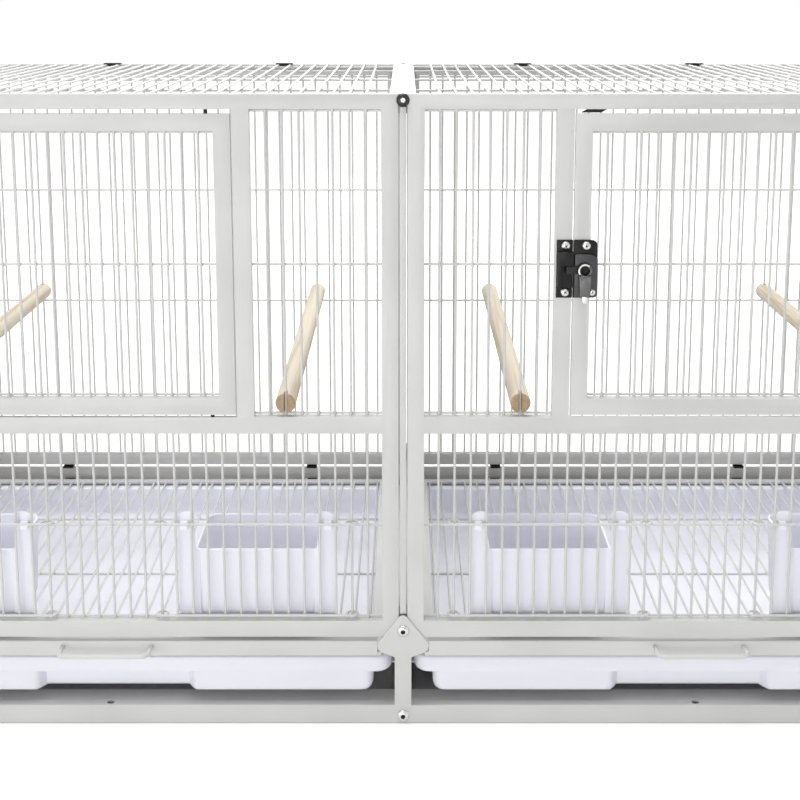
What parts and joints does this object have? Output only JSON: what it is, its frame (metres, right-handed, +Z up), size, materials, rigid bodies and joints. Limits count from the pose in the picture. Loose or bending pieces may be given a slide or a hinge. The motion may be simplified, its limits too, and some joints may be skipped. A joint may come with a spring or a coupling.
{
  "type": "bird breeding cage",
  "caption": "Wire breeding cage with side-by-side compartments, hinged doors with latches, hanging cups behind sliding gates, perches, a pull-out divider, grates and trays.",
  "frame": {"origin": "centre of the footprint on the floor, under the middle of the bounding box", "axes": "+X to the right as seen from the front, +Z up, front towards -Y"},
  "size_m": [0.95, 0.4439, 0.5092],
  "materials": {
    "cream_paint": "off-white powder coat, satin",
    "white_plastic": "white moulded plastic with a slight lavender cast, semi-gloss",
    "pale_wood": "pale unvarnished hardwood, fine grain along the stick",
    "black_metal": "black paint, satin",
    "bright_steel": "zinc plated, bright"
  },
  "bodies": {
    "cage": {"base_front_rail": "cream_paint", "base_rear_wall": "cream_paint", "base_side_left": "cream_paint", "base_side_right": "cream_paint", "base_centre_wall": "cream_paint", "base_posts": "cream_paint", "front_frame_left": "cream_paint", "front_frame_right": "cream_paint", "rear_frame_left": "cream_paint", "rear_frame_right": "cream_paint", "side_frame_left": "cream_paint", "side_frame_right": "cream_paint", "narrow_mesh_left_outer": "cream_paint", "narrow_mesh_left_inner": "cream_paint", "narrow_mesh_right_inner": "cream_paint", "narrow_mesh_right_outer": "cream_paint", "lower_mesh_left": "cream_paint", "lower_mesh_right": "cream_paint", "rear_mesh_left": "cream_paint", "rear_mesh_right": "cream_paint", "side_mesh_left": "cream_paint", "side_mesh_right": "cream_paint", "roof_mesh_left": "cream_paint", "roof_mesh_right": "cream_paint", "divider_rails": "cream_paint", "gussets": "cream_paint", "frame_bolts": "bright_steel", "rear_clips": "black_metal", "latch_strikes": "black_metal", "door_buffers": "black_metal", "perches_left": "pale_wood", "perches_right": "pale_wood", "hinge_pins_left": "black_metal", "hinge_pins_right": "black_metal"},
    "door_left": {"door_frame_left": "cream_paint", "door_mesh_left": "cream_paint", "latch_plate_left": "black_metal", "latch_screws_left": "bright_steel"},
    "lever_left": {"latch_lever_left": "bright_steel"},
    "door_right": {"door_frame_right": "cream_paint", "door_mesh_right": "cream_paint", "latch_plate_right": "black_metal", "latch_screws_right": "bright_steel"},
    "lever_right": {"latch_lever_right": "bright_steel"},
    "feeder_gate_left_outer": {"feeder_gate_left_outer": "cream_paint"},
    "feeder_gate_left_inner": {"feeder_gate_left_inner": "cream_paint"},
    "feeder_gate_right_outer": {"feeder_gate_right_outer": "cream_paint"},
    "feeder_gate_right_inner": {"feeder_gate_right_inner": "cream_paint"},
    "grate_left": {"grate_left": "cream_paint", "grate_handle_left": "cream_paint"},
    "tray_left": {"tray_left": "white_plastic"},
    "grate_right": {"grate_right": "cream_paint", "grate_handle_right": "cream_paint"},
    "tray_right": {"tray_right": "white_plastic"},
    "divider": {"divider": "cream_paint"},
    "cup_left_outer": {"cup_left_outer": "white_plastic"},
    "cup_left_inner": {"cup_left_inner": "white_plastic"},
    "cup_right_outer": {"cup_right_outer": "white_plastic"},
    "cup_right_inner": {"cup_right_inner": "white_plastic"}
  },
  "joints": [
    {"name": "door_left_hinge", "type": "hinge", "parent": "cage", "child": "door_left", "pos_m": [-0.1483, -0.19955, 0.376], "axis": [0, 0, 1], "range_deg": [0, 110]},
    {"name": "latch_left_pivot", "type": "hinge", "parent": "door_left", "child": "lever_left", "pos_m": [-0.337, -0.20205, 0.375], "axis": [0, -1, 0], "range_deg": [0, 90]},
    {"name": "door_right_hinge", "type": "hinge", "parent": "cage", "child": "door_right", "pos_m": [0.3267, -0.19955, 0.376], "axis": [0, 0, 1], "range_deg": [0, 110]},
    {"name": "latch_right_pivot", "type": "hinge", "parent": "door_right", "child": "lever_right", "pos_m": [0.138, -0.20205, 0.375], "axis": [0, -1, 0], "range_deg": [0, 90]},
    {"name": "feeder_gate_left_outer_slide", "type": "slide", "parent": "cage", "child": "feeder_gate_left_outer", "axis": [0, 0, 1], "range_m": [0, 0.07]},
    {"name": "feeder_gate_left_inner_slide", "type": "slide", "parent": "cage", "child": "feeder_gate_left_inner", "axis": [0, 0, 1], "range_m": [0, 0.07]},
    {"name": "feeder_gate_right_outer_slide", "type": "slide", "parent": "cage", "child": "feeder_gate_right_outer", "axis": [0, 0, 1], "range_m": [0, 0.07]},
    {"name": "feeder_gate_right_inner_slide", "type": "slide", "parent": "cage", "child": "feeder_gate_right_inner", "axis": [0, 0, 1], "range_m": [0, 0.07]},
    {"name": "grate_left_slide", "type": "slide", "parent": "cage", "child": "grate_left", "axis": [0, -1, 0], "range_m": [0, 0.38]},
    {"name": "tray_left_slide", "type": "slide", "parent": "cage", "child": "tray_left", "axis": [0, -1, 0], "range_m": [0, 0.38]},
    {"name": "grate_right_slide", "type": "slide", "parent": "cage", "child": "grate_right", "axis": [0, -1, 0], "range_m": [0, 0.38]},
    {"name": "tray_right_slide", "type": "slide", "parent": "cage", "child": "tray_right", "axis": [0, -1, 0], "range_m": [0, 0.38]},
    {"name": "divider_slide", "type": "slide", "parent": "cage", "child": "divider", "axis": [0, -1, 0], "range_m": [0, 0.38]},
    {"name": "cup_left_outer_lift", "type": "slide", "parent": "cage", "child": "cup_left_outer", "axis": [0, 0, 1], "range_m": [0, 0.008]},
    {"name": "cup_left_inner_lift", "type": "slide", "parent": "cage", "child": "cup_left_inner", "axis": [0, 0, 1], "range_m": [0, 0.008]},
    {"name": "cup_right_outer_lift", "type": "slide", "parent": "cage", "child": "cup_right_outer", "axis": [0, 0, 1], "range_m": [0, 0.008]},
    {"name": "cup_right_inner_lift", "type": "slide", "parent": "cage", "child": "cup_right_inner", "axis": [0, 0, 1], "range_m": [0, 0.008]}
  ]
}
